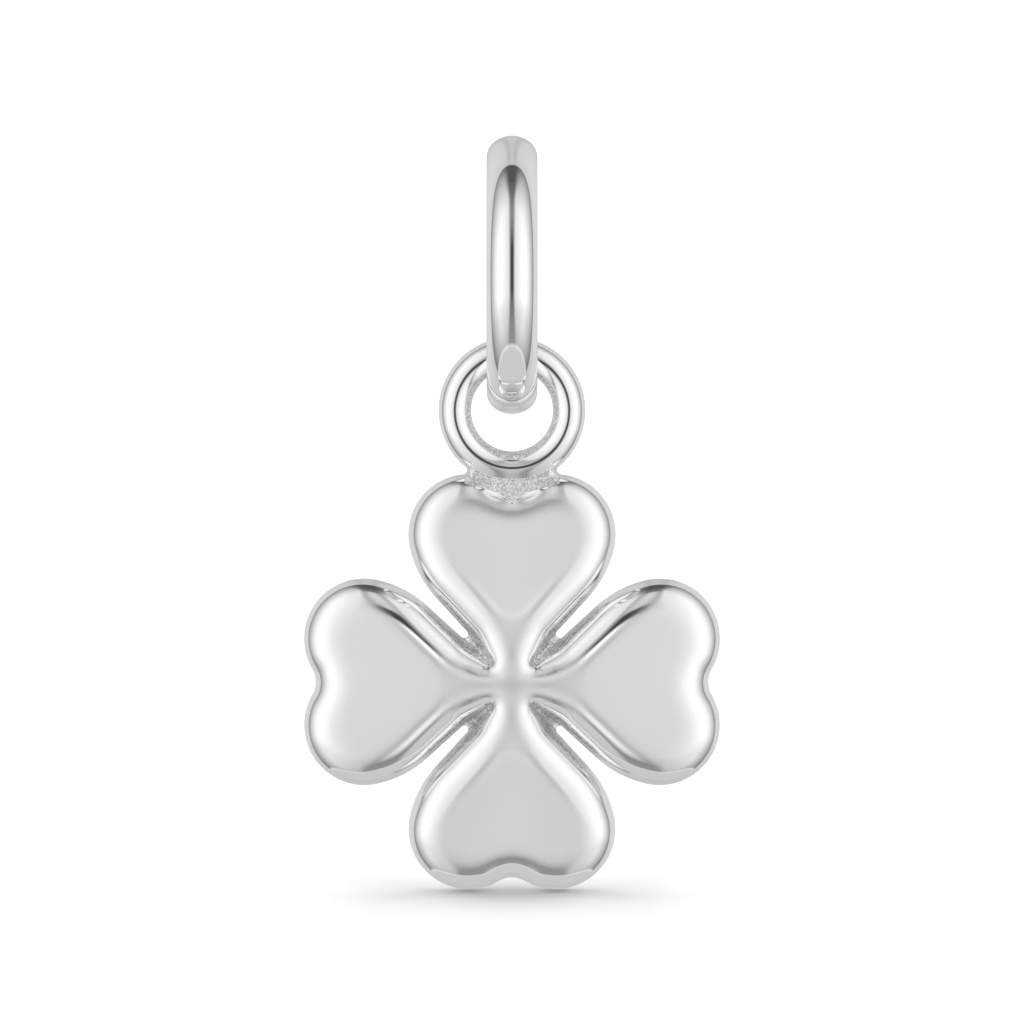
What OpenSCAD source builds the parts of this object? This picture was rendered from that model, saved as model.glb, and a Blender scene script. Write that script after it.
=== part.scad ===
// Four leaf clover pendant: a cast silver clover with an eye, hanging from a closed bail ring.
// Millimetres. +X is to the right, +Y is away from the viewer, +Z is up.
// The zero point is where a chain lies, on the inside of the top of the bail ring.

/* [Clover] */

// From the middle of the clover to the end of a leaf
leaf_reach = 6.0; // [5.4:0.05:7.0]
// Radius of a lobe
lobe_r = 1.74; // [1.5:0.01:2.0]
// Clear gap between the lobes of two leaves, across the slot
lobes_apart = 0.78; // [0.7:0.01:1.2]
// Radius of the long curve from a lobe to the slot
side_r = 3.2; // [2.6:0.05:4.0]
// Radius of the hollow of the notch at the leaf's end
notch_r = 0.76; // [0.3:0.01:1.2]
// From the middle of the clover to the inner end of a slot
slot_reach = 1.84; // [1.5:0.01:2.3]
// Radius of the inner end of a slot
slot_end_r = 0.11; // [0.08:0.01:0.16]
// Angle by which each side of a slot leaves the diagonal
slot_flare = 2.6; // [1:0.1:4]

/* [Clover relief] */

// Half of the thickness at the middle of the clover
middle_half_t = 1.3; // [0.9:0.01:1.6]
// Fall of the faces from the middle outward, in millimetres for each millimetre
face_fall = 0.12; // [0:0.01:0.16]
// How widely the middle is rounded, before the faces fall evenly
middle_round = 1.0; // [0.3:0.05:2]
// Width of the rounded edge of a leaf, from the outline to its face
edge_w = 1.25; // [0.8:0.05:1.8]
// How full the rounded edge is: 2 is an ellipse
edge_power = 3.2; // [2:0.1:3.5]
// From the middle of the clover to the inner end of the hollow between two leaves
hollow_reach = 0.92; // [0.8:0.01:1.4]
// Half of the thickness of the metal at the inner end of that hollow
hollow_half_t = 1.1; // [0.3:0.01:1.2]
// Length of the slope in the hollow, from the slot inward, and of its run-out beside the slot
hollow_slope = 1.0; // [0.5:0.01:1.5]
// Width over which the faces of neighbouring leaves are blended
ridge_w = 0.5; // [0.2:0.01:0.8]

/* [Eye and neck] */

// Radius of the hole in the eye
eye_hole_r = 1.18; // [1.0:0.01:1.6]
// Thickness of the eye's round metal
eye_wire_d = 0.93; // [0.6:0.01:1.3]
// How far the eye's metal bites into each lobe of the top leaf
eye_bite = 0.06; // [0.02:0.01:0.2]
// Radius of the small hollow on each side of the neck
neck_fillet_r = 0.12; // [0.05:0.01:0.4]
// How far the neck reaches into the notch of the top leaf
neck_reach = 0.45; // [0.2:0.01:0.8]
// How far the neck's corners are sunk into the lobes
neck_sunk = 0.12; // [0.08:0.01:0.3]
// Half of the neck's thickness at the eye
neck_top_half_t = 0.32; // [0.2:0.01:0.45]
// Half of the neck's thickness at its lower point
neck_low_half_t = 0.7; // [0.4:0.01:0.9]

/* [Bail ring] */

// Outside diameter of the bail ring
bail_od = 8.0; // [7.0:0.1:10]
// Width of the ring's metal, across the ring
bail_wire_w = 1.45; // [1.0:0.01:1.6]
// Thickness of the ring's metal, from its inside to its outside
bail_wire_t = 1.24; // [0.9:0.01:1.3]
// Free gap between the ring and the inside of the eye
hang_gap = 0.04; // [0.02:0.01:0.2]

/* [Hidden] */

$fn = 96;

silver = [0.86, 0.86, 0.87];
bright_silver = [0.90, 0.90, 0.91];

// Steps along each stretch of the outline of half a leaf, and from the outline inward
slot_steps = 3;
wall_steps = 5;
side_steps = 3;
lobe_steps = 8;
notch_steps = 2;
inward_steps = 9;
inward_power = 1.8;

// Heights of the hanging parts
bail_inner_r = bail_od / 2 - bail_wire_t;
bail_mid_r = bail_od / 2 - bail_wire_t / 2;
eye_mid_r = eye_hole_r + eye_wire_d / 2;
// The inside of the eye's top rests just above the inside of the ring's bottom
eye_z = hang_gap - 2 * bail_inner_r - eye_hole_r;

function unit(v) = v / norm(v);
function turn_of(v) = atan2(v[1], v[0]);
function on_arc(at, r, turn) = at + r * [cos(turn), sin(turn)];
function between(a, b, part) = a + (b - a) * part;

// Outline of half a leaf, as [along the leaf, aside of it]. The slot lies on the diagonal.
half_root = sqrt(0.5);
diagonal = [half_root, half_root];
wall_turn = 45 - slot_flare;
wall_along = [cos(wall_turn), sin(wall_turn)];
wall_in = [sin(wall_turn), -cos(wall_turn)];
slot_end_at = diagonal * (slot_reach + slot_end_r);
wall_start = slot_end_at + wall_in * slot_end_r;
lobe_along = leaf_reach - lobe_r;
lobe_aside = lobe_along - sqrt(2) * (lobe_r + lobes_apart / 2);
lobe_at = [lobe_along, lobe_aside];
to_side = wall_start + wall_in * side_r - lobe_at;
side_step = to_side * wall_along;
wall_len = -side_step - sqrt(side_step * side_step - to_side * to_side + pow(side_r - lobe_r, 2));
wall_stop = wall_start + wall_along * wall_len;
side_at = wall_stop + wall_in * side_r;
notch_at = [lobe_along + sqrt(pow(lobe_r + notch_r, 2) - pow(lobe_aside, 2)), 0];
lobe_from = turn_of(lobe_at - side_at);
lobe_to = turn_of(notch_at - lobe_at);
notch_reach = notch_at[0] - notch_r;

// The eye stands in the notch of the top leaf and bites into its two lobes
eye_out_r = eye_hole_r + eye_wire_d;
eye_height = lobe_along + sqrt(pow(lobe_r + eye_out_r - eye_bite, 2) - pow(lobe_aside, 2));
clover_z = eye_z - eye_height;

// The slot's walls run on inward, below the face, to the end of the hollow between two leaves
hollow_at = diagonal * hollow_reach;
hollow_end_r = slot_end_r - (slot_reach + slot_end_r - hollow_reach) * sin(slot_flare);
hollow_start = hollow_at + wall_in * hollow_end_r;
hollow_wall_len = (wall_stop - hollow_start) * wall_along;

// Points of the outline, from the inner end of the slot round the lobe to the notch, each with
// the place on the leaf's middle line that the face is drawn to from there: [point, place].
// The places are shares of the leaf's length, one for each end of a stretch of the outline.
places = leaf_reach * [0, 0.25, 0.53, 0.63, 0.69, 0.72];
function stretch(steps, number) =
    [for (k = [1:steps]) [k / steps, between(places[number], places[number + 1], k / steps)]];
outline = concat(
    [[diagonal * slot_reach, 0]],
    [for (s = stretch(slot_steps, 0))
        [on_arc(slot_end_at, slot_end_r, between(225, 315 - slot_flare, s[0])), s[1]]],
    [for (s = stretch(wall_steps, 1)) [wall_start + wall_along * wall_len * s[0], s[1]]],
    [for (s = stretch(side_steps, 2))
        [on_arc(side_at, side_r, between(135 - slot_flare, lobe_from, s[0])), s[1]]],
    [for (s = stretch(lobe_steps, 3))
        [on_arc(lobe_at, lobe_r, between(lobe_from, lobe_to, s[0])), s[1]]],
    [for (s = stretch(notch_steps, 4))
        [on_arc(notch_at, notch_r, between(180 + lobe_to, 180, s[0])), s[1]]]
);

// Distance from a point on the face to the outline and to the hollows between the leaves
far = 100;
function in_range(turn, low, high) = turn >= low - 0.01 && turn <= high + 0.01;
function wall_gap(p) =
    let (s = (p - hollow_start) * wall_along)
    s < 0 || s > hollow_wall_len ? far : (p - hollow_start) * wall_in;
function side_gap(p) =
    in_range(turn_of(p - side_at), lobe_from, 135 - slot_flare) ? side_r - norm(p - side_at) : far;
function lobe_gap(p) =
    in_range(turn_of(p - lobe_at), lobe_to, lobe_from) ? lobe_r - norm(p - lobe_at) : far;
function notch_gap(p) =
    in_range(turn_of(notch_at - p), lobe_to, 0) ? norm(p - notch_at) - notch_r : far;
function edge_gap(p) =
    min(norm(p - hollow_at) - hollow_end_r, wall_gap(p), side_gap(p), lobe_gap(p), notch_gap(p));
function soft_min(a, b, width) =
    let (h = max(width - abs(a - b), 0) / width)
    min(a, b) - h * h * width / 4;
function other_gap(p) = min(norm(p - hollow_at) - hollow_end_r, wall_gap(p));
function face_gap(p) =
    let (near = soft_min(edge_gap(p), other_gap([p[0], -p[1]]), ridge_w))
    soft_min(near, other_gap([-p[0], p[1]]), ridge_w);

// Half of the thickness at a point of the face
function edge_rise(gap) = sqrt(max(0, 1 - pow(1 - min(max(gap, 0) / edge_w, 1), edge_power)));
function crown(r) = middle_half_t - face_fall * (norm([r, middle_round]) - middle_round);
function hollow_height(p) =
    let (up = min(max(norm(p - slot_end_at) - slot_end_r, 0) / hollow_slope, 1))
    let (out = min(max((norm(p) - slot_reach) / hollow_slope, 0), 1))
    hollow_half_t * up * (1 - out * out * (3 - 2 * out));
function half_t(p) =
    let (low = hollow_height(p))
    between(low, crown(norm(p)), edge_rise(face_gap(p)));

// The face of half a leaf: a row of points for each point of the outline, drawn inward
rows = len(outline);
cols = inward_steps + 1;
function face_point(row, col) =
    let (part = pow(col / inward_steps, inward_power))
    let (at = outline[row][0], to = [outline[row][1], 0])
    at * (1 - part) + to * part;
half_face = [for (row = [0:rows - 1], col = [0:cols - 1])
    let (p = face_point(row, col))
    [p[0], p[1], col == 0 ? 0 : half_t(p)]];

// The eight halves of the four leaves: [swapped over the diagonal, sign of x, sign of z]
halves = [for (swap = [0, 1], sx = [1, -1], sz = [1, -1]) [swap, sx, sz]];
function placed(p, half, side) =
    [half[1] * (half[0] ? p[1] : p[0]), side * p[2], half[2] * (half[0] ? p[0] : p[1])];
// The last cell of a half is one triangle, because two of its sides lie on the middle line
function face_cells(first, flip) =
    [for (row = [0:rows - 2], col = [0:cols - 2])
        let (a = first + row * cols + col, b = a + cols)
        let (pair = [[a, b, a + 1], [b, b + 1, a + 1]])
        let (kept = row == rows - 2 && col == cols - 2 ? [pair[0]] : pair)
        each flip ? kept : [for (c = kept) [c[0], c[2], c[1]]]];

module clover_body() {
    points = [for (side = [-1, 1], half = halves, p = half_face) placed(p, half, side)];
    cells = [for (s = [0, 1], h = [0:7])
        let (turned = (s + halves[h][0] + (1 - halves[h][1]) / 2 + (1 - halves[h][2]) / 2) % 2)
        each face_cells((s * 8 + h) * rows * cols, turned == 0)];
    polyhedron(points, cells, convexity = 6);
}

// A round bar bent into a ring that faces the viewer
module eye() {
    translate([0, 0, eye_height])
        rotate([90, 0, 0])
            rotate_extrude()
                translate([eye_mid_r, 0])
                    circle(d = eye_wire_d);
}

// The neck fills the corner between the eye and the two lobes of the top leaf
top_lobe_at = [lobe_aside, lobe_along];
eye_at = [0, eye_height];
to_lobe = top_lobe_at - eye_at;
eye_arm = eye_out_r + neck_fillet_r;
lobe_arm = lobe_r + neck_fillet_r;
arm_along = (to_lobe * to_lobe + eye_arm * eye_arm - lobe_arm * lobe_arm) / (2 * norm(to_lobe));
arm_aside = sqrt(eye_arm * eye_arm - arm_along * arm_along);
fillet_at = eye_at + unit(to_lobe) * arm_along
    + [-unit(to_lobe)[1], unit(to_lobe)[0]] * arm_aside;

module neck_outline() {
    on_eye = eye_at + unit(fillet_at - eye_at) * (eye_mid_r + eye_wire_d / 10);
    on_lobe = top_lobe_at + unit(fillet_at - top_lobe_at) * (lobe_r - neck_sunk);
    half = [on_eye, fillet_at, on_lobe];
    difference() {
        polygon(concat(
            half,
            [[0, notch_reach - neck_reach]],
            [for (k = [2:-1:0]) [-half[k][0], half[k][1]]]
        ));
        translate(eye_at)
            circle(r = eye_mid_r);
        for (s = [-1, 1])
            translate([s * fillet_at[0], fillet_at[1]])
                circle(r = neck_fillet_r);
    }
}

module neck_side() {
    bend_z = eye_height - eye_out_r + neck_top_half_t / 2;
    low_z = notch_reach - neck_reach;
    end_z = low_z - neck_sunk;
    polygon([
        [-neck_top_half_t, eye_height],
        [-neck_top_half_t, bend_z],
        [-neck_low_half_t, low_z],
        [-neck_low_half_t, end_z],
        [neck_low_half_t, end_z],
        [neck_low_half_t, low_z],
        [neck_top_half_t, bend_z],
        [neck_top_half_t, eye_height]
    ]);
}

module neck() {
    intersection() {
        rotate([90, 0, 0])
            linear_extrude(height = 3 * neck_low_half_t, center = true)
                neck_outline();
        rotate([90, 0, 90])
            linear_extrude(height = 2 * leaf_reach, center = true)
                neck_side();
    }
}

// The cast piece: four leaves, neck and eye
module clover() {
    color(silver)
        translate([0, 0, clover_z])
            union() {
                clover_body();
                union() {
                    neck();
                    eye();
                }
            }
}

// The closed ring that a chain passes through, edge on to the viewer
module bail_ring() {
    color(bright_silver)
        translate([0, 0, -bail_inner_r])
            rotate([0, 90, 0])
                rotate_extrude()
                    translate([bail_mid_r, 0])
                        scale([bail_wire_t / 2, bail_wire_w / 2])
                            circle(r = 1);
}

clover();
bail_ring();
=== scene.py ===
import itertools
import math

import bmesh
import bpy
import numpy as np
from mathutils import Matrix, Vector


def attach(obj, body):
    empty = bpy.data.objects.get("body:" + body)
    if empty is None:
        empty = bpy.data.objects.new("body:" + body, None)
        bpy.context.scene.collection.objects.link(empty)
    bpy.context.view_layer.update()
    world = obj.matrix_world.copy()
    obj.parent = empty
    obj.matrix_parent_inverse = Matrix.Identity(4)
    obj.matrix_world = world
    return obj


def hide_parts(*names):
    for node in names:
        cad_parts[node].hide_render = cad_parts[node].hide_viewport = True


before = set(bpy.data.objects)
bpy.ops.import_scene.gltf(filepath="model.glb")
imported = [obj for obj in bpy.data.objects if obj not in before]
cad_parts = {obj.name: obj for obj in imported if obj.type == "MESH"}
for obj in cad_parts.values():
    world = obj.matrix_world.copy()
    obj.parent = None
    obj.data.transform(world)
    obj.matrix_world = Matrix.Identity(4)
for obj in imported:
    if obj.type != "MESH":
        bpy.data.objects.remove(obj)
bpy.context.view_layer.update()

MM = 0.001
DEGREES = 180.0 / math.pi

# Sizes in millimetres and angles in radians, the same as in the part
LEAF_REACH = 6.0
LOBE_R = 1.74
LOBES_APART = 0.78
SIDE_R = 3.2
NOTCH_R = 0.76
SLOT_REACH = 1.84
SLOT_END_R = 0.11
SLOT_FLARE = math.radians(2.6)
MIDDLE_HALF_T = 1.3
FACE_FALL = 0.12
MIDDLE_ROUND = 1.0
EDGE_W = 1.25
EDGE_POWER = 3.2
HOLLOW_REACH = 0.92
RIDGE_W = 0.5
EYE_HOLE_R = 1.18
EYE_WIRE_D = 0.93
EYE_BITE = 0.06
NECK_FILLET_R = 0.12
NECK_REACH = 0.45
NECK_TOP_HALF_T = 0.32
NECK_LOW_HALF_T = 0.70
BAIL_OD = 8.0
BAIL_WIRE_W = 1.45
BAIL_WIRE_T = 1.24
HANG_GAP = 0.04

BAIL_INNER_R = BAIL_OD / 2 - BAIL_WIRE_T
BAIL_MID_R = BAIL_OD / 2 - BAIL_WIRE_T / 2
EYE_MID_R = EYE_HOLE_R + EYE_WIRE_D / 2
EYE_OUT_R = EYE_HOLE_R + EYE_WIRE_D
LOBE_ALONG = LEAF_REACH - LOBE_R
LOBE_ASIDE = LOBE_ALONG - math.sqrt(2) * (LOBE_R + LOBES_APART / 2)
EYE_Z = HANG_GAP - 2 * BAIL_INNER_R - EYE_HOLE_R
EYE_HEIGHT = LOBE_ALONG + math.sqrt((LOBE_R + EYE_OUT_R - EYE_BITE) ** 2 - LOBE_ASIDE**2)
CLOVER_Z = EYE_Z - EYE_HEIGHT
CLOVER_LOW_Z = CLOVER_Z - LEAF_REACH

# Camera: a little above the level of the pendant's middle, in millimetres
CAMERA_AWAY = 190.0
CAMERA_RAISE = math.radians(3.0)
CLIP_NEAR = 10.0
CLIP_FAR = 10000.0
SENSOR_W = 36.0
VIEW_W = 29.51
LOOK_AT = Vector((0.0, 0.0, -9.59))


def make_camera():
    data = bpy.data.cameras.new("camera")
    data.sensor_width = SENSOR_W
    data.lens = SENSOR_W * CAMERA_AWAY / VIEW_W
    data.clip_start = CLIP_NEAR * MM
    data.clip_end = CLIP_FAR * MM
    camera = bpy.data.objects.new("camera", data)
    bpy.context.scene.collection.objects.link(camera)
    away = Vector((0.0, -math.cos(CAMERA_RAISE), math.sin(CAMERA_RAISE)))
    camera.location = (LOOK_AT + away * CAMERA_AWAY) * MM
    camera.rotation_euler = (-away).to_track_quat("-Z", "Y").to_euler()
    bpy.context.scene.camera = camera


make_camera()


# Shader maths: numbers over a surface, written as arithmetic
class Number:
    def __init__(self, shader, socket):
        self.shader = shader
        self.socket = socket

    def maths(self, operation, *others):
        inputs = dict(enumerate((self,) + others))
        return self.shader.number("ShaderNodeMath", {"operation": operation}, inputs)

    def __add__(self, other):
        return self.maths("ADD", other)

    def __sub__(self, other):
        return self.maths("SUBTRACT", other)

    def __rsub__(self, other):
        return self.maths("MULTIPLY_ADD", -1.0, other)

    def __mul__(self, other):
        return self.maths("MULTIPLY", other)

    def __truediv__(self, other):
        return self.maths("DIVIDE", other)

    def __neg__(self):
        return self.maths("MULTIPLY", -1.0)

    def __abs__(self):
        return self.maths("ABSOLUTE")

    __radd__ = __add__
    __rmul__ = __mul__

    def smooth(self, low, high):
        """0 at low, 1 at high and soft between them. High may be the smaller of the two."""
        settings = {"interpolation_type": "SMOOTHSTEP"}
        inputs = {"Value": self, "From Min": low, "From Max": high}
        return self.shader.number("ShaderNodeMapRange", settings, inputs)

    def by_table(self, table):
        """The value at this place in a list of (place, value), with straight lines between them."""
        low, high = table[0][0], table[-1][0]
        stops = [((place - low) / (high - low), (value,) * 3 + (1.0,)) for place, value in table]
        share = (self - low) / (high - low)
        return self.shader.number("ShaderNodeValToRGB", {"stops": stops}, {"Fac": share})


class Shader:
    def __init__(self, tree):
        self.tree = tree
        tree.nodes.clear()

    def node(self, kind, settings=None, inputs=None):
        """A node with its settings made first, then the values or links of its inputs."""
        made = self.tree.nodes.new(kind)
        for name, value in (settings or {}).items():
            if name == "stops":
                elements = made.color_ramp.elements
                while len(elements) < len(value):
                    elements.new(0.5)
                for element, (place, colour) in zip(elements, value):
                    element.position = place
                    element.color = colour
            else:
                setattr(made, name, value)
        for name, value in (inputs or {}).items():
            if isinstance(value, Number):
                value = value.socket
            if isinstance(value, bpy.types.NodeSocket):
                self.tree.links.new(value, made.inputs[name])
            else:
                made.inputs[name].default_value = value
        return made

    def number(self, kind, settings=None, inputs=None, output=0):
        return Number(self, self.node(kind, settings, inputs).outputs[output])

    def axes(self, vector):
        split = self.node("ShaderNodeSeparateXYZ", None, {0: vector})
        return [Number(self, output) for output in split.outputs]

    def blend(self, low, high, share):
        return low + (high - low) * share

    def noise(self, place, per_metre, detail):
        inputs = {"Vector": place, "Scale": per_metre, "Detail": detail}
        return self.number("ShaderNodeTexNoise", None, inputs)

    def grey(self, tone, colour=(1.0, 1.0, 1.0)):
        """The colour, made lighter or darker by the tone."""
        inputs = {i: tone * share for i, share in enumerate(colour)}
        return self.node("ShaderNodeCombineColor", None, inputs).outputs[0]


# Studio round the pendant, painted by direction
# A soft box stands to the left and right of the camera, with a dark gap between them. A dark screen
# is overhead, a pale round table below and a pale wall behind. Lists are of (degrees, value).

# Light of the gap, by the angle above the level
GAP_LIGHT = [
    (-180, 0.40), (-120, 0.40), (-51, 0.30), (-38, 0.26), (-21, 0.15), (-8, 0.05), (22, 0.045),
    (38, 0.17), (50, 0.25), (66, 0.20), (76, 0.15), (86, 0.09), (104, 0.09), (120, 0.25), (180, 0.40)]
# Width of the gap in degrees, by the same angle, and where its edge starts and ends as shares of it
GAP_WIDTH = [
    (-180, 9.0), (-56, 9.0), (-38, 7.5), (-26, 4.5), (30, 4.5), (48, 3.2), (62, 3.4), (84, 12.0),
    (104, 15.0), (180, 15.0)]
GAP_EDGE = (0.35, 2.0)
# Light of the soft boxes, by the angle to the left or right, and how they fade away from the
# camera's direction and below the level
BOX_LIGHT = [
    (0, 0.34), (6, 0.36), (9, 0.48), (12.5, 0.84), (20, 0.88), (28, 0.98), (40, 1.08), (90, 1.10)]
BOX_FADE = [
    (0, 1.0), (60, 1.0), (70, 0.86), (80, 0.69), (88, 0.56), (97, 0.38), (103, 0.24), (180, 0.24)]
BOX_FADE_BELOW = [(-90, 0.55), (-60, 0.60), (-40, 0.74), (-28, 0.80), (-16, 1.0), (90, 1.0)]
# The table: its middle lies this far behind the pendant, and its edge and its bright rim start and
# end at these distances from its middle, as shares of how far it lies below. It fades in between
# two heights of the direction, where 0 is level and -1 is straight down.
TABLE_LIGHT = 0.62
TABLE_BEHIND = 0.17
TABLE_EDGE = (0.70, 0.84)
TABLE_FADE = (-0.2, -0.3)
RIM_INNER = (0.70, 0.75)
RIM_OUTER = (0.77, 0.84)
RIM_LIGHT = 0.22
# Least height below the level that the table is worked out for, against a division by nothing
LEAST_DOWN = 0.001
# The wall starts at this angle from the camera's direction. Its light shows fully behind the gap
# and by this share behind the soft boxes.
WALL_ANGLE = 104.5
WALL_EDGE = 0.8
WALL_LIGHT = 0.58
WALL_SHARE = 0.72
# What the floor gets from the studio, and what the camera sees behind the floor's far end
FLOOR_LIGHT = 0.02
BACKDROP_LIGHT = 1.1


def make_studio():
    world = bpy.data.worlds.new("studio")
    bpy.context.scene.world = world
    world.use_nodes = True
    s = Shader(world.node_tree)
    x, y, z = s.axes(s.node("ShaderNodeTexCoord").outputs["Generated"])
    from_camera = (-y).maths("ARCCOSINE") * DEGREES
    wall = from_camera.smooth(WALL_ANGLE - WALL_EDGE, WALL_ANGLE + WALL_EDGE)
    forward = y * (wall.maths("GREATER_THAN", 0.5) * 2.0 - 1.0)
    aside = abs(x.maths("ARCSINE")) * DEGREES
    up = z.maths("ARCTAN2", forward) * DEGREES
    level = z.maths("ARCSINE") * DEGREES
    off_axis = forward.maths("ARCCOSINE") * DEGREES
    boxes = aside.by_table(BOX_LIGHT) * off_axis.by_table(BOX_FADE) * level.by_table(BOX_FADE_BELOW)
    beside = (aside / up.by_table(GAP_WIDTH)).smooth(*GAP_EDGE)
    front = s.blend(up.by_table(GAP_LIGHT), boxes, beside)
    down = (-z).maths("MAXIMUM", LEAST_DOWN)
    table_x = x / down
    table_y = y / down - TABLE_BEHIND
    table_r = (table_x * table_x + table_y * table_y).maths("SQRT")
    table = (1.0 - table_r.smooth(*TABLE_EDGE)) * z.smooth(*TABLE_FADE)
    rim = table_r.smooth(*RIM_INNER) * (1.0 - table_r.smooth(*RIM_OUTER)) * z.smooth(*TABLE_FADE)
    lit = s.blend(front, TABLE_LIGHT, table) + rim * RIM_LIGHT
    lit = s.blend(lit, WALL_LIGHT, wall * (1.0 - beside * (1.0 - WALL_SHARE)))
    rays = s.node("ShaderNodeLightPath")
    from_floor = Number(s, rays.outputs["Diffuse Depth"]).maths("MINIMUM", 1.0)
    lit = s.blend(lit, FLOOR_LIGHT, from_floor)
    lit = s.blend(lit, BACKDROP_LIGHT, Number(s, rays.outputs["Is Camera Ray"]))
    background = s.node("ShaderNodeBackground", None, {"Color": lit, "Strength": 1.0})
    s.node("ShaderNodeOutputWorld", None, {"Surface": background.outputs[0]})
    world.cycles.sampling_method = "NONE"


make_studio()


# Fill light for one piece alone: a graded panel far behind the camera
# Its light falls off by the angle to the left or right, and each piece has a list of its own by the
# angle above or below the level, in degrees.
FILL_AWAY = 400.0
FILL_ASIDE = [(0, 1.0), (1.6, 1.0), (3.5, 0.8), (6.5, 0.25), (9, 0.0)]
LEAF_FILL = [
    (-40, 0.0), (-32, 0.46), (-26, 0.76), (-13, 0.88), (-9, 0.26), (1, 0.10), (6, 1.20), (13, 1.38),
    (17, 0.0), (26, 0.0), (31, 0.50), (64, 0.45), (70, 0.0)]
EYE_FILL = [
    (-60, 0.15), (-40, 0.25), (-25, 0.40), (-11, 0.45), (-8, 0.0), (3, 0.0), (8, 0.5), (30, 0.5),
    (60, 0.4), (78, 0.3)]


def light_only(piece, light):
    lit = bpy.data.collections.new(light.name)
    lit.objects.link(piece)
    light.light_linking.receiver_collection = lit


def slope_of(angle):
    return math.tan(math.radians(angle))


def make_fill(piece, middle_z, table):
    low, high = (middle_z + FILL_AWAY * slope_of(table[end][0]) for end in (0, -1))
    half_w = max(FILL_AWAY, high - middle_z) * slope_of(FILL_ASIDE[-1][0])
    data = bpy.data.lights.new("fill for " + piece.name, "AREA")
    data.shape = "RECTANGLE"
    data.size = 2 * half_w * MM
    data.size_y = (high - low) * MM
    data.energy = math.pi * data.size * data.size_y
    data.use_nodes = True
    s = Shader(data.node_tree)
    x, _, z = s.axes(s.node("ShaderNodeNewGeometry").outputs["Position"])
    rise = (z - middle_z * MM) / (FILL_AWAY * MM)
    up = rise.maths("ARCTANGENT") * DEGREES
    far = (rise * rise + 1.0).maths("SQRT") * (FILL_AWAY * MM)
    aside = (abs(x) / far).maths("ARCTANGENT") * DEGREES
    strength = aside.by_table(FILL_ASIDE) * up.by_table(table)
    panel = s.node("ShaderNodeEmission", None, {"Strength": strength})
    s.node("ShaderNodeOutputLight", None, {"Surface": panel.outputs[0]})
    light = bpy.data.objects.new(data.name, data)
    bpy.context.scene.collection.objects.link(light)
    light.location = (0.0, -FILL_AWAY * MM, (low + high) / 2 * MM)
    light.rotation_euler = (math.pi / 2, 0.0, 0.0)
    light.visible_camera = False
    light_only(piece, light)


# Silver: bright where it is polished, grainy where the polishing wheel can't reach
# Patches and wear are noises, given by how many fit in a metre.
PATCHES = 1500.0
WEAR = 260.0
# How far pits and patches fray the border of the grain, and where that border lies
PIT_FRAY = 0.5
PATCH_FRAY = 0.3
GRAIN_BORDER = (0.35, 0.65)
# Share of the polish's roughness that is there everywhere, and the share that wear adds
EVEN_ROUGHNESS = 0.85
WORN_ROUGHNESS = 0.3
# Roughness and tone of the grain, at the bottom of its pits, and what its high points add
GRAIN_ROUGHNESS = (0.06, 0.10)
GRAIN_TONE = (0.74, 0.30)
PIT_BORDER = (0.38, 0.62)


def make_silver(name, colour, polish, face_polish, grain_size, grain_depth):
    """Polish and face polish are roughness, grain size and depth are in millimetres."""
    material = bpy.data.materials.new(name)
    material.use_nodes = True
    s = Shader(material.node_tree)
    place = s.node("ShaderNodeTexCoord").outputs["Object"]
    grain = s.number("ShaderNodeAttribute", {"attribute_name": "grain"}, None, "Fac")
    face = s.number("ShaderNodeAttribute", {"attribute_name": "face"}, None, "Fac")
    pits = s.noise(place, 1.0 / (grain_size * MM), detail=2.0)
    patches = s.noise(place, PATCHES, detail=2.0)
    wear = s.noise(place, WEAR, detail=3.0)
    frayed = grain + (pits - 0.5) * PIT_FRAY + (patches - 0.5) * PATCH_FRAY
    rough_grain = frayed.smooth(*GRAIN_BORDER)
    polished = s.blend(polish, face_polish, face) * (EVEN_ROUGHNESS + wear * WORN_ROUGHNESS)
    roughness = s.blend(polished, GRAIN_ROUGHNESS[0] + pits * GRAIN_ROUGHNESS[1], rough_grain)
    grain_tone = GRAIN_TONE[0] + pits.smooth(*PIT_BORDER) * GRAIN_TONE[1]
    base = s.grey(s.blend(1.0, grain_tone, rough_grain), colour)
    bump = s.node("ShaderNodeBump", None, {
        "Strength": 1.0, "Distance": grain_depth * MM, "Height": pits * rough_grain})
    shine = s.node("ShaderNodeBsdfPrincipled", None, {
        "Base Color": base, "Metallic": 1.0, "Roughness": roughness, "Normal": bump.outputs[0]})
    s.node("ShaderNodeOutputMaterial", None, {"Surface": shine.outputs[0]})
    return material


clover_silver = make_silver(
    "clover_silver", colour=(0.93, 0.93, 0.935), polish=0.07, face_polish=0.30, grain_size=0.075,
    grain_depth=0.03)
ring_silver = make_silver(
    "ring_silver", colour=(0.95, 0.95, 0.955), polish=0.04, face_polish=0.05, grain_size=0.06,
    grain_depth=0.035)


# Plane geometry of half a leaf, as [along the leaf, aside of it], with the slot on the diagonal
def arm(turn):
    return np.array([math.cos(turn), math.sin(turn)])


def turn_of(v):
    return np.arctan2(v[..., 1], v[..., 0])


def length(v):
    return np.hypot(v[..., 0], v[..., 1])


def beside_middle(p):
    """The same points, all on the right of the middle line."""
    return np.stack([np.abs(p[..., 0]), p[..., 1]], -1)


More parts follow.
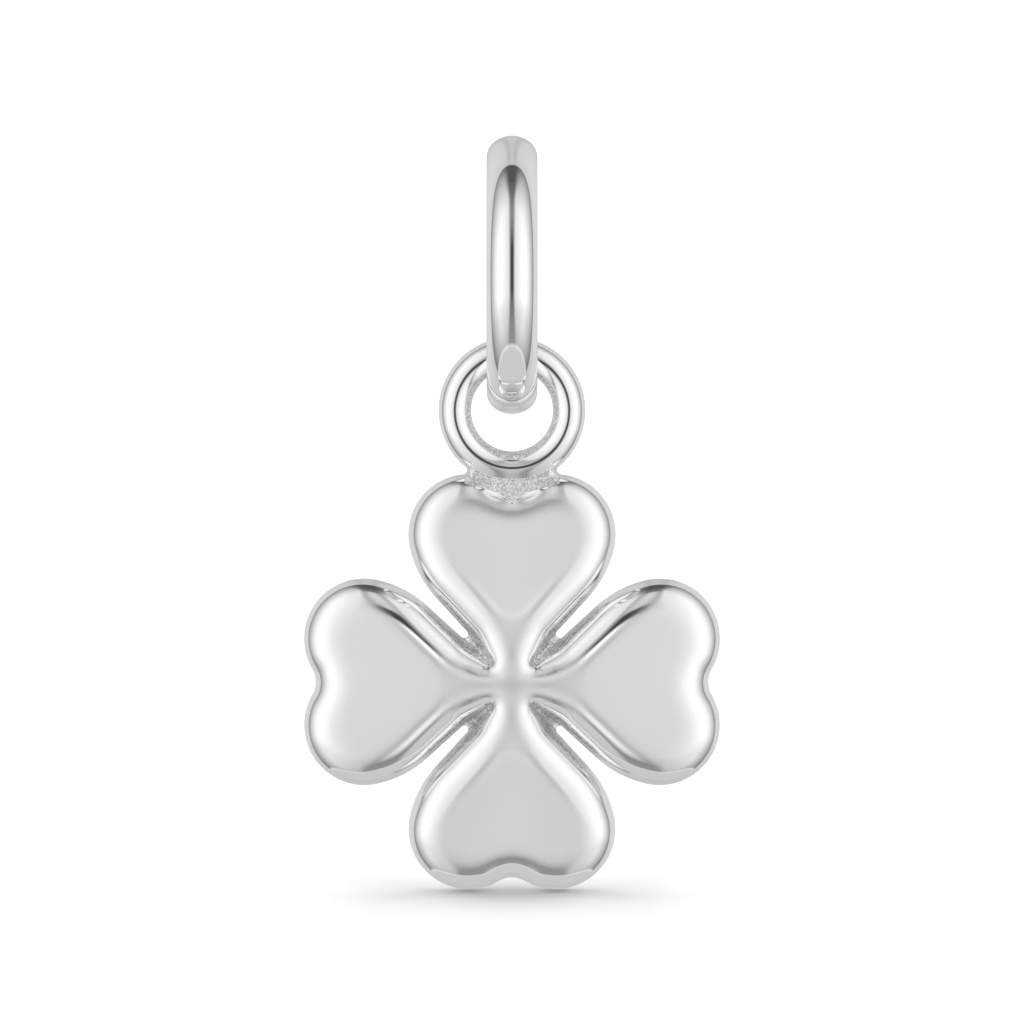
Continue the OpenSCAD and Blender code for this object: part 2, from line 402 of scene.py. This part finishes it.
DIAGONAL = arm(math.pi / 4)
WALL_TURN = math.pi / 4 - SLOT_FLARE
WALL_ALONG = arm(WALL_TURN)
WALL_IN = np.array([math.sin(WALL_TURN), -math.cos(WALL_TURN)])
SLOT_END_AT = DIAGONAL * (SLOT_REACH + SLOT_END_R)
WALL_START = SLOT_END_AT + WALL_IN * SLOT_END_R
LOBE_AT = np.array([LOBE_ALONG, LOBE_ASIDE])
TO_SIDE = WALL_START + WALL_IN * SIDE_R - LOBE_AT
SIDE_STEP = TO_SIDE @ WALL_ALONG
WALL_LEN = -SIDE_STEP - math.sqrt(SIDE_STEP**2 - TO_SIDE @ TO_SIDE + (SIDE_R - LOBE_R) ** 2)
WALL_STOP = WALL_START + WALL_ALONG * WALL_LEN
SIDE_AT = WALL_STOP + WALL_IN * SIDE_R
NOTCH_AT = np.array([LOBE_ALONG + math.sqrt((LOBE_R + NOTCH_R) ** 2 - LOBE_ASIDE**2), 0.0])
SIDE_FROM = math.radians(135) - SLOT_FLARE
LOBE_FROM = float(turn_of(LOBE_AT - SIDE_AT))
LOBE_TO = float(turn_of(NOTCH_AT - LOBE_AT))
NOTCH_REACH = NOTCH_AT[0] - NOTCH_R
HOLLOW_AT = DIAGONAL * HOLLOW_REACH
HOLLOW_END_R = SLOT_END_R - (SLOT_REACH + SLOT_END_R - HOLLOW_REACH) * math.sin(SLOT_FLARE)
HOLLOW_START = HOLLOW_AT + WALL_IN * HOLLOW_END_R
HOLLOW_WALL_LEN = (WALL_STOP - HOLLOW_START) @ WALL_ALONG
# Places on the leaf's middle line that the face is drawn to, one for each end of a stretch of the
# outline
PLACES = np.array([0, 0.25, 0.53, 0.63, 0.69, 0.72]) * LEAF_REACH
# Distance given to a point that a stretch of the outline doesn't face, and how far past the ends of
# an arc a point may still count as facing it
FAR = 100.0
TURN_SLACK = 1e-4


def leaf_outline(steps):
    """Points round half a leaf from the slot to the notch, and their places on the middle line."""
    points = [DIAGONAL * SLOT_REACH]
    places = [0.0]
    arcs = [
        (SLOT_END_AT, SLOT_END_R, math.radians(225), math.radians(315) - SLOT_FLARE),
        None,
        (SIDE_AT, SIDE_R, SIDE_FROM, LOBE_FROM),
        (LOBE_AT, LOBE_R, LOBE_FROM, LOBE_TO),
        (NOTCH_AT, NOTCH_R, math.pi + LOBE_TO, math.pi),
    ]
    for number, (arc, count) in enumerate(zip(arcs, steps)):
        for share in np.arange(1, count + 1) / count:
            if arc is None:
                points.append(WALL_START + WALL_ALONG * WALL_LEN * share)
            else:
                at, radius, start, stop = arc
                points.append(at + radius * arm(start + (stop - start) * share))
            places.append(PLACES[number] + (PLACES[number + 1] - PLACES[number]) * share)
    return np.array(points), np.array(places)


def ramp(value, low, high):
    share = np.clip((value - low) / (high - low), 0, 1)
    return share * share * (3 - 2 * share)


def soft_min(a, b, width):
    near = np.maximum(width - np.abs(a - b), 0) / width
    return np.minimum(a, b) - near * near * width / 4


def soft_max(a, b, width):
    return -soft_min(-a, -b, width)


def in_range(turn, low, high):
    return (turn >= low - TURN_SLACK) & (turn <= high + TURN_SLACK)


# Distances from a point on the face to the stretches of the outline and to the hollow
def wall_gap(p):
    along = (p - HOLLOW_START) @ WALL_ALONG
    return np.where((along < 0) | (along > HOLLOW_WALL_LEN), FAR, (p - HOLLOW_START) @ WALL_IN)


def side_gap(p):
    inside = in_range(turn_of(p - SIDE_AT), LOBE_FROM, SIDE_FROM)
    return np.where(inside, SIDE_R - length(p - SIDE_AT), FAR)


def lobe_gap(p):
    inside = in_range(turn_of(p - LOBE_AT), LOBE_TO, LOBE_FROM)
    return np.where(inside, LOBE_R - length(p - LOBE_AT), FAR)


def notch_gap(p):
    inside = in_range(turn_of(NOTCH_AT - p), LOBE_TO, 0)
    return np.where(inside, length(p - NOTCH_AT) - NOTCH_R, FAR)


def hollow_gap(p):
    return length(p - HOLLOW_AT) - HOLLOW_END_R


def other_gap(p):
    return np.minimum(hollow_gap(p), wall_gap(p))


def face_gap(p):
    edge = np.minimum.reduce([hollow_gap(p), wall_gap(p), side_gap(p), lobe_gap(p), notch_gap(p)])
    near = soft_min(edge, other_gap(p * [1, -1]), RIDGE_W)
    return soft_min(near, other_gap(p * [-1, 1]), RIDGE_W)


# How far polishing evens out the form: as a share of the way to the edge, at most, how softly the
# one passes into the other, and the directions that it is evened in
EVEN_SHARE = 0.7
EVEN_MOST = 0.6
EVEN_SOFT = 0.3
EVEN_DIRECTIONS = 12


def even_gap(p):
    """The distance to the edge, averaged round each point as the polishing wheel evens the metal."""
    most = np.full(p.shape[:-1], EVEN_MOST / EVEN_SHARE)
    reach = np.maximum(EVEN_SHARE * soft_min(face_gap(p), most, EVEN_SOFT), 0)
    total = 0
    turns = np.arange(EVEN_DIRECTIONS) * 2 * math.pi / EVEN_DIRECTIONS
    for share, turn in itertools.product((0.5, 1.0), turns):
        around = np.abs(p + (reach * share)[..., None] * arm(turn))
        total = total + face_gap(np.stack([around.max(-1), around.min(-1)], -1))
    return total / (2 * EVEN_DIRECTIONS)


# Hollow between two leaves, a little deeper than in the part, as its dark tones ask for
# Half of the metal's thickness at its inner end, the length of its slope from the slot inward, and
# how softly the slope starts and stops
HOLLOW_HALF_T = 0.92
HOLLOW_SLOPE = 0.85
HOLLOW_START_SOFT = 0.15
HOLLOW_STOP_SOFT = 0.4


def hollow_height(p):
    """Half thickness at the bottom of the hollow, which rises from the slot inward."""
    inward = np.maximum(SLOT_REACH - p @ DIAGONAL, 0) / HOLLOW_SLOPE
    rise = np.hypot(inward, HOLLOW_START_SOFT) - HOLLOW_START_SOFT
    return HOLLOW_HALF_T * soft_min(rise, np.ones_like(rise), HOLLOW_STOP_SOFT)


def edge_rise(gap, width=EDGE_W):
    """0 at the outline and 1 where the rounded edge meets the face."""
    share = np.clip(gap / width, 0, 1)
    return np.sqrt(np.maximum(0, 1 - (1 - share) ** EDGE_POWER))


def leaf_height(p):
    """Half thickness of the clover at points of its plan."""
    crown = MIDDLE_HALF_T - FACE_FALL * (np.hypot(length(p), MIDDLE_ROUND) - MIDDLE_ROUND)
    low = hollow_height(p)
    return low + (crown - low) * edge_rise(even_gap(p))


# Points closer than this, in metres, are one
MERGE_WITHIN = 0.0004 * MM


class Shell:
    """Gathers grids of points into one mesh, with a grain and a face value for each point."""

    def __init__(self):
        self.points = []
        self.faces = []
        self.grain = []
        self.face = []
        self.count = 0

    def grid(self, points, grain, face, flip, wrap=False):
        """Adds a grid, turned inside out by flip and closed both ways round by wrap."""
        rows, cols = points.shape[:2]
        index = np.arange(rows * cols).reshape(rows, cols) + self.count
        if wrap:
            index = np.pad(index, ((0, 1), (0, 1)), mode="wrap")
        cells = [index[:-1, :-1], index[1:, :-1], index[1:, 1:], index[:-1, 1:]]
        if flip:
            cells.reverse()
        self.points.append(points.reshape(-1, 3))
        self.faces.append(np.stack(cells, -1).reshape(-1, 4))
        self.grain.append(np.broadcast_to(grain, (rows, cols)).ravel())
        self.face.append(np.broadcast_to(face, (rows, cols)).ravel())
        self.count += rows * cols

    def make(self, name, at):
        points = (np.concatenate(self.points) + at) * MM
        faces = np.concatenate(self.faces)
        mesh = bpy.data.meshes.new(name)
        mesh.from_pydata(points.tolist(), [], faces.tolist())
        for label, values in (("grain", self.grain), ("face", self.face)):
            attribute = mesh.attributes.new(label, "FLOAT", "POINT")
            attribute.data.foreach_set("value", np.concatenate(values).astype(np.float32))
        piece = bpy.data.objects.new(name, mesh)
        bpy.context.scene.collection.objects.link(piece)
        tidy_mesh(mesh)
        return piece


def tidy_mesh(mesh):
    work = bmesh.new()
    work.from_mesh(mesh)
    bmesh.ops.remove_doubles(work, verts=work.verts, dist=MERGE_WITHIN)
    bmesh.ops.dissolve_degenerate(work, edges=work.edges, dist=MERGE_WITHIN / 4)
    work.to_mesh(mesh)
    work.free()
    mesh.shade_smooth()


# Leaves: eight halves, in front and behind
# The steps go along the slot's end, its wall, the side, the lobe and the notch, and then from the
# outline inward, where they are closer together at the outline.
LEAF_STEPS = (8, 24, 10, 66, 18)
INWARD_STEPS = 48
# Rows at which the wall, the side and the lobe start
WALL_ROW, SIDE_ROW, LOBE_ROW = np.cumsum(LEAF_STEPS)[:3]
# Grain on the slot's wall: how rough it is, the rows between which it ends, and how far in it fades
WALL_GRAIN = 0.8
WALL_GRAIN_STOP = (WALL_ROW + LEAF_STEPS[1] * 0.9, SIDE_ROW + 4)
WALL_GRAIN_FADE = (0.03, 0.16)
# Grain in the hollow: its width, the share of it that is fully grainy, the distances from the middle
# between which it widens and those between which it ends, and how softly it ends aside
GRAIN_W = 0.20
GRAIN_FULL_SHARE = 0.5
HOLLOW_GRAIN_START = (HOLLOW_REACH - 0.15, SLOT_REACH)
HOLLOW_GRAIN_STOP = (SLOT_REACH + 0.1, SLOT_REACH + 0.6)
HOLLOW_GRAIN_SOFT = 0.06
# Where the softer polish of the face sets in, by the distance from the edge: at the side and at the
# lobe, the rows in which the one passes into the other, and near the middle as (distances from the
# middle between which it ends, distances from the edge)
SIDE_FACE = (0.75, 1.4)
LOBE_FACE = (0.40, 0.9)
LOBE_FACE_ROWS = (SIDE_ROW, LOBE_ROW + LEAF_STEPS[3] * 0.12)
MIDDLE_FACES = [((1.6, 2.8), (0.38, 0.62)), ((0.9, 1.6), (0.10, 0.40))]
# The edge of the rough neck on the top leaf, as (aside, height above the middle of the clover)
NECK_LINE = [(0.0, 5.22), (0.43, 5.50), (0.95, 5.66), (1.42, 5.76)]
NECK_LINE_SOFT = 0.05
NECK_END_SOFT = 0.12


def above_neck_line(aside, height):
    """1 on the rough side of the neck's edge and 0 on the polished side."""
    over = height - np.interp(aside, *zip(*NECK_LINE))
    last = NECK_LINE[-1][0]
    within = 1 - ramp(aside, last - NECK_END_SOFT, last)
    return ramp(over, -NECK_LINE_SOFT, NECK_LINE_SOFT) * within


def leaf_grain(row, gap, from_middle):
    """Roughness of the cast surface, on the slot's wall and in the hollow."""
    wall = (1 - ramp(row, *WALL_GRAIN_STOP)) * (1 - ramp(gap, *WALL_GRAIN_FADE))
    reach = GRAIN_W * ramp(from_middle, *HOLLOW_GRAIN_START)
    inside = 1 - ramp(gap, reach * GRAIN_FULL_SHARE, reach + HOLLOW_GRAIN_SOFT)
    hollow = (1 - ramp(from_middle, *HOLLOW_GRAIN_STOP)) * inside
    return np.maximum(wall * WALL_GRAIN, hollow)


def leaf_face(row, gap, from_middle):
    """How much of a point belongs to the softly polished face."""
    at_lobe = ramp(row, *LOBE_FACE_ROWS)
    low, high = (side + (lobe - side) * at_lobe for side, lobe in zip(SIDE_FACE, LOBE_FACE))
    faces = [ramp(gap, low, high)]
    for reach, edge in MIDDLE_FACES:
        faces.append((1 - ramp(from_middle, *reach)) * ramp(gap, *edge))
    return np.maximum.reduce(faces)


def add_leaves(shell):
    outline, places = leaf_outline(LEAF_STEPS)
    share = (np.arange(INWARD_STEPS + 1) / INWARD_STEPS)[None, :, None] ** 2
    middle = np.stack([places, np.zeros_like(places)], -1)
    plan = outline[:, None] * (1 - share) + middle[:, None] * share
    height = leaf_height(plan)
    height[:, 0] = 0
    gap = face_gap(plan)
    from_middle = length(plan)
    row = np.arange(len(outline))[:, None] + np.zeros_like(gap)
    grain = leaf_grain(row, gap, from_middle)
    face = leaf_face(row, gap, from_middle)
    along, aside = plan[..., 0], plan[..., 1]
    for upright, sx, sz, side in itertools.product((False, True), (1, -1), (1, -1), (-1, 1)):
        x, z = (aside, along) if upright else (along, aside)
        points = np.stack([sx * x, side * height, sz * z], -1)
        inside_out = sx * sz * side * (-1 if upright else 1) > 0
        neck = above_neck_line(aside, along) if upright and sz > 0 else 0.0
        shell.grid(points, np.maximum(grain, neck), face * (1 - neck), flip=inside_out)


# Eye: a round bar bent into a ring, rough on the wall of its hole and more widely at the bottom
EYE_AROUND = 160
EYE_ACROSS = 64
EYE_GRAIN = 0.9
EYE_GRAIN_EDGE = (0.60, 0.74)
EYE_BOTTOM = (0.86, 1.0)
EYE_BOTTOM_WIDER = 0.16


def add_eye(shell):
    around = np.linspace(0, 2 * math.pi, EYE_AROUND, endpoint=False)[:, None]
    across = np.linspace(0, 2 * math.pi, EYE_ACROSS, endpoint=False)[None, :]
    radius = EYE_MID_R + EYE_WIRE_D / 2 * np.cos(across) + 0 * around
    depth = EYE_WIRE_D / 2 * np.sin(across) + 0 * around
    points = np.stack([radius * np.cos(around), depth, EYE_HEIGHT + radius * np.sin(around)], -1)
    wider = ramp(-np.sin(around), *EYE_BOTTOM) * EYE_BOTTOM_WIDER
    grain = ramp(-np.cos(across), EYE_GRAIN_EDGE[0] - wider, EYE_GRAIN_EDGE[1] - wider) * EYE_GRAIN
    shell.grid(points, grain, face=0.0, flip=False, wrap=True)


# Neck: the rough web between the eye and the two lobes of the top leaf, in the clover's plane
def fillet_centre():
    to_lobe = TOP_LOBE_AT - EYE_AT
    far = float(length(to_lobe))
    eye_arm, lobe_arm = EYE_OUT_R + NECK_FILLET_R, LOBE_R + NECK_FILLET_R
    along = (far**2 + eye_arm**2 - lobe_arm**2) / (2 * far)
    unit = to_lobe / far
    return EYE_AT + unit * along + np.array([-unit[1], unit[0]]) * math.sqrt(eye_arm**2 - along**2)


EYE_AT = np.array([0.0, EYE_HEIGHT])
TOP_LOBE_AT = np.array([LOBE_ASIDE, LOBE_ALONG])
FILLET_AT = fillet_centre()
FROM_EYE = (FILLET_AT - EYE_AT) / length(FILLET_AT - EYE_AT)
FROM_LOBE = (FILLET_AT - TOP_LOBE_AT) / length(FILLET_AT - TOP_LOBE_AT)
NECK_ROWS = 72
NECK_COLS = 120
FILLET_STEPS = 16
NECK_TIP_Z = NOTCH_REACH - NECK_REACH
# How deep the neck's sheet runs into the lobes and below its tip, where the leaf hides it
NECK_INTO_LOBE = 0.55
NECK_BELOW_TIP = 0.45
# How strongly the bend of the sheet's sides stays at its sides
NECK_BEND_POWER = 3
# Depth in the lobe from which the web falls away past the neck's corner, and how fast it falls
NECK_CORNER_DEPTH = 0.36
NECK_CORNER_FALL = 1.2
# Width of the web's rounded edge
NECK_EDGE_W = 0.3
# How far the sheet lies below the eye and the leaf, how softly the web meets each, and how softly
# its grain ends at the eye
NECK_UNDER = 0.004
NECK_TO_EYE_SOFT = 0.14
NECK_TO_LEAF_SOFT = 0.10
NECK_GRAIN_SOFT = 0.10
# Shares of the sheet along which it closes at its ends and its sides
NECK_END_SHARE = 0.06
NECK_SIDE_SHARE = 0.04


def neck_plan(down, across):
    """Points of the neck's sheet, from the eye's bar down and from the left side to the right."""
    start, stop = turn_of(-FROM_EYE), turn_of(-FROM_LOBE) + 2 * math.pi
    turns = start + (stop - start) * np.linspace(0, 1, FILLET_STEPS)
    path = [EYE_AT + FROM_EYE * EYE_MID_R]
    path += [FILLET_AT + NECK_FILLET_R * arm(turn) for turn in turns]
    path += [TOP_LOBE_AT + FROM_LOBE * (LOBE_R - NECK_INTO_LOBE)]
    path = np.array(path)
    walked = np.concatenate([[0], np.cumsum(length(np.diff(path, axis=0)))])
    side = np.stack([np.interp(down[:, 0] * walked[-1], walked, path[:, k]) for k in range(2)], -1)
    crest = np.arctan2(FROM_EYE[0], -FROM_EYE[1]) * across[0]
    top = EYE_AT + EYE_MID_R * np.stack([np.sin(crest), -np.cos(crest)], -1)
    tip = np.array([0.0, NECK_TIP_Z - NECK_BELOW_TIP])
    outward = np.abs(across[0])[:, None]
    low = outward * path[-1] + (1 - outward) * tip
    low[:, 0] *= np.sign(across[0])
    plan = top[None] * (1 - down[..., None]) + low[None] * down[..., None]
    bend = side - ((1 - down) * path[0] + down * path[-1])
    mirror = np.stack([np.sign(across), np.ones_like(across)], -1)
    return plan + np.abs(across)[..., None] ** NECK_BEND_POWER * bend[:, None] * mirror


def neck_web(plan):
    """Half thickness of the web: thin at the eye, thicker at its tip, falling away past its corners."""
    right = beside_middle(plan)
    bend_z = EYE_HEIGHT - EYE_OUT_R + NECK_TOP_HALF_T / 2
    slope = np.clip((plan[..., 1] - NECK_TIP_Z) / (bend_z - NECK_TIP_Z), 0, 1)
    web = NECK_LOW_HALF_T + (NECK_TOP_HALF_T - NECK_LOW_HALF_T) * slope
    tip = np.array([0.0, NECK_TIP_Z])
    to_corner = TOP_LOBE_AT + FROM_LOBE * (LOBE_R - NECK_CORNER_DEPTH) - tip
    outward = np.array([to_corner[1], -to_corner[0]]) / length(to_corner)
    web = web - NECK_CORNER_FALL * np.maximum((right - tip) @ outward, 0)
    return web * edge_rise(np.maximum(length(right - FILLET_AT) - NECK_FILLET_R, 0), NECK_EDGE_W)


def add_neck(shell):
    down = np.linspace(0, 1, NECK_ROWS)[:, None]
    across = np.linspace(-1, 1, NECK_COLS)[None, :]
    plan = neck_plan(down, across)
    from_bar = length(plan - EYE_AT) - EYE_MID_R
    bar = np.sqrt(np.maximum(0, (EYE_WIRE_D / 2) ** 2 - from_bar**2))
    right = beside_middle(plan)
    leaf = leaf_height(right[..., ::-1])
    web = neck_web(plan)
    height = soft_max(bar - NECK_UNDER, web, NECK_TO_EYE_SOFT)
    height = soft_max(height, leaf - NECK_UNDER, NECK_TO_LEAF_SOFT)
    ends = np.minimum(1, down / NECK_END_SHARE) * np.minimum(1, (1 - down) / NECK_END_SHARE)
    height = height * np.sqrt(ends * np.minimum(1, (1 - np.abs(across)) / NECK_SIDE_SHARE))
    rough = above_neck_line(right[..., 0], right[..., 1])
    grain = ramp(web - bar, -NECK_GRAIN_SOFT, NECK_GRAIN_SOFT) * rough
    for side in (-1, 1):
        points = np.stack([plan[..., 0], side * height, plan[..., 1]], -1)
        shell.grid(points, grain, face=0.0, flip=side > 0)


def make_clover_piece(name, *parts):
    shell = Shell()
    for add in parts:
        add(shell)
    piece = shell.make(name, np.array([0.0, 0.0, CLOVER_Z]))
    piece.data.materials.append(clover_silver)
    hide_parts("clover")
    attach(piece, "drop")
    return piece


leaves = make_clover_piece("clover_leaves", add_leaves)
eye = make_clover_piece("clover_eye", add_eye, add_neck)
make_fill(leaves, CLOVER_Z, LEAF_FILL)
make_fill(eye, EYE_Z, EYE_FILL)

# Bail ring: an oval wire swept round a circle
RING_AROUND = 256
RING_ACROSS = 96
# The wire starts as a circle of this radius, 1 across, and is stretched to the oval
UNIT_R = 0.5


def ring_tree(sizes):
    """The ring's tree of nodes, with one input for each size, and the silver set at its end."""
    tree = bpy.data.node_groups.new("swept ring", "GeometryNodeTree")
    for name in sizes:
        tree.interface.new_socket(name, in_out="INPUT", socket_type="NodeSocketFloat")
    tree.interface.new_socket("Geometry", in_out="OUTPUT", socket_type="NodeSocketGeometry")
    s = Shader(tree)
    given = s.node("NodeGroupInput").outputs
    path = s.node("GeometryNodeCurvePrimitiveCircle", None, {
        "Resolution": RING_AROUND, "Radius": given["Ring radius"]})
    wire = s.node("GeometryNodeCurvePrimitiveCircle", None, {
        "Resolution": RING_ACROSS, "Radius": UNIT_R})
    oval = s.node("ShaderNodeCombineXYZ", None, {
        "X": given["Wire thickness"], "Y": given["Wire width"], "Z": 1.0})
    profile = s.node("GeometryNodeTransform", None, {
        "Geometry": wire.outputs[0], "Scale": oval.outputs[0]})
    swept = s.node("GeometryNodeCurveToMesh", None, {
        "Curve": path.outputs[0], "Profile Curve": profile.outputs[0]})
    upright = s.node("GeometryNodeTransform", None, {
        "Geometry": swept.outputs[0], "Rotation": (0.0, math.pi / 2, 0.0),
        "Translation": (0.0, 0.0, -BAIL_INNER_R * MM)})
    smooth = s.node("GeometryNodeSetShadeSmooth", None, {"Geometry": upright.outputs[0]})
    real = s.node("GeometryNodeRealizeInstances", None, {"Geometry": smooth.outputs[0]})
    finish = s.node("GeometryNodeSetMaterial", None, {
        "Geometry": real.outputs[0], "Material": ring_silver})
    s.node("NodeGroupOutput", None, {"Geometry": finish.outputs[0]})
    return tree


def make_ring():
    sizes = {
        "Ring radius": BAIL_MID_R * MM,
        "Wire width": BAIL_WIRE_W * MM,
        "Wire thickness": BAIL_WIRE_T * MM,
    }
    start = bpy.data.objects.new("ring start", bpy.data.meshes.new("ring start"))
    bpy.context.scene.collection.objects.link(start)
    modifier = start.modifiers.new("swept ring", "NODES")
    modifier.node_group = ring_tree(sizes)
    for item in modifier.node_group.interface.items_tree:
        if item.in_out == "INPUT":
            modifier[item.identifier] = sizes[item.name]
    graph = bpy.context.evaluated_depsgraph_get()
    mesh = bpy.data.meshes.new_from_object(start.evaluated_get(graph))
    start.modifiers.remove(modifier)
    bpy.data.objects.remove(start)
    mesh.name = "bail_ring_polished"
    ring = bpy.data.objects.new("bail_ring_polished", mesh)
    bpy.context.scene.collection.objects.link(ring)
    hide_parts("bail_ring")
    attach(ring, "bail")


make_ring()

# Floor: a plain white sheet in a tent of soft panels
FLOOR_GAP = 0.05
FLOOR_W = 500.0
FLOOR_TONE = 0.90
FIBRE_TONE = 0.02
FIBRES_PER_METRE = 300.0
# Each panel is given by its angle above the floor, its angle from straight behind, and how much
# light it lays on the floor. One that stands aside has a twin on the other side.
PANELS = [(88, 0, 0.36), (45, 60, 0.09), (15, 30, 0.14), (15, 135, 0.16)]
PANEL_SPREAD = math.radians(44.0)


def make_panel(above, aside, light_on_floor):
    above, aside = math.radians(above), math.radians(aside)
    data = bpy.data.lights.new("floor panel", "SUN")
    data.angle = PANEL_SPREAD
    data.energy = light_on_floor * math.pi / (FLOOR_TONE * math.sin(above))
    light = bpy.data.objects.new(data.name, data)
    bpy.context.scene.collection.objects.link(light)
    level = math.cos(above)
    towards = Vector((math.sin(aside) * level, math.cos(aside) * level, math.sin(above)))
    light.rotation_euler = towards.to_track_quat("Z", "Y").to_euler()
    return light


def make_sheet():
    material = bpy.data.materials.new("white_sheet")
    material.use_nodes = True
    s = Shader(material.node_tree)
    place = s.node("ShaderNodeTexCoord").outputs["Object"]
    fibres = s.noise(place, FIBRES_PER_METRE, detail=2.0)
    tone = s.grey(FLOOR_TONE + fibres * FIBRE_TONE)
    paper = s.node("ShaderNodeBsdfDiffuse", None, {"Color": tone})
    s.node("ShaderNodeOutputMaterial", None, {"Surface": paper.outputs[0]})
    return material


def make_floor():
    half = FLOOR_W / 2 * MM
    z = (CLOVER_LOW_Z - FLOOR_GAP) * MM
    corners = [(-half, -half, z), (half, -half, z), (half, half, z), (-half, half, z)]
    mesh = bpy.data.meshes.new("floor")
    mesh.from_pydata(corners, [], [(0, 1, 2, 3)])
    mesh.materials.append(make_sheet())
    floor = bpy.data.objects.new("floor", mesh)
    bpy.context.scene.collection.objects.link(floor)
    # The studio's round table stands in for the floor in the reflections
    floor.visible_glossy = False
    for above, aside, light_on_floor in PANELS:
        for turned in (aside, -aside) if aside else (0,):
            light_only(floor, make_panel(above, turned, light_on_floor))


make_floor()

# Colours as they are, with no film curve
view = bpy.context.scene.view_settings
view.view_transform = "Standard"
view.look = "None"
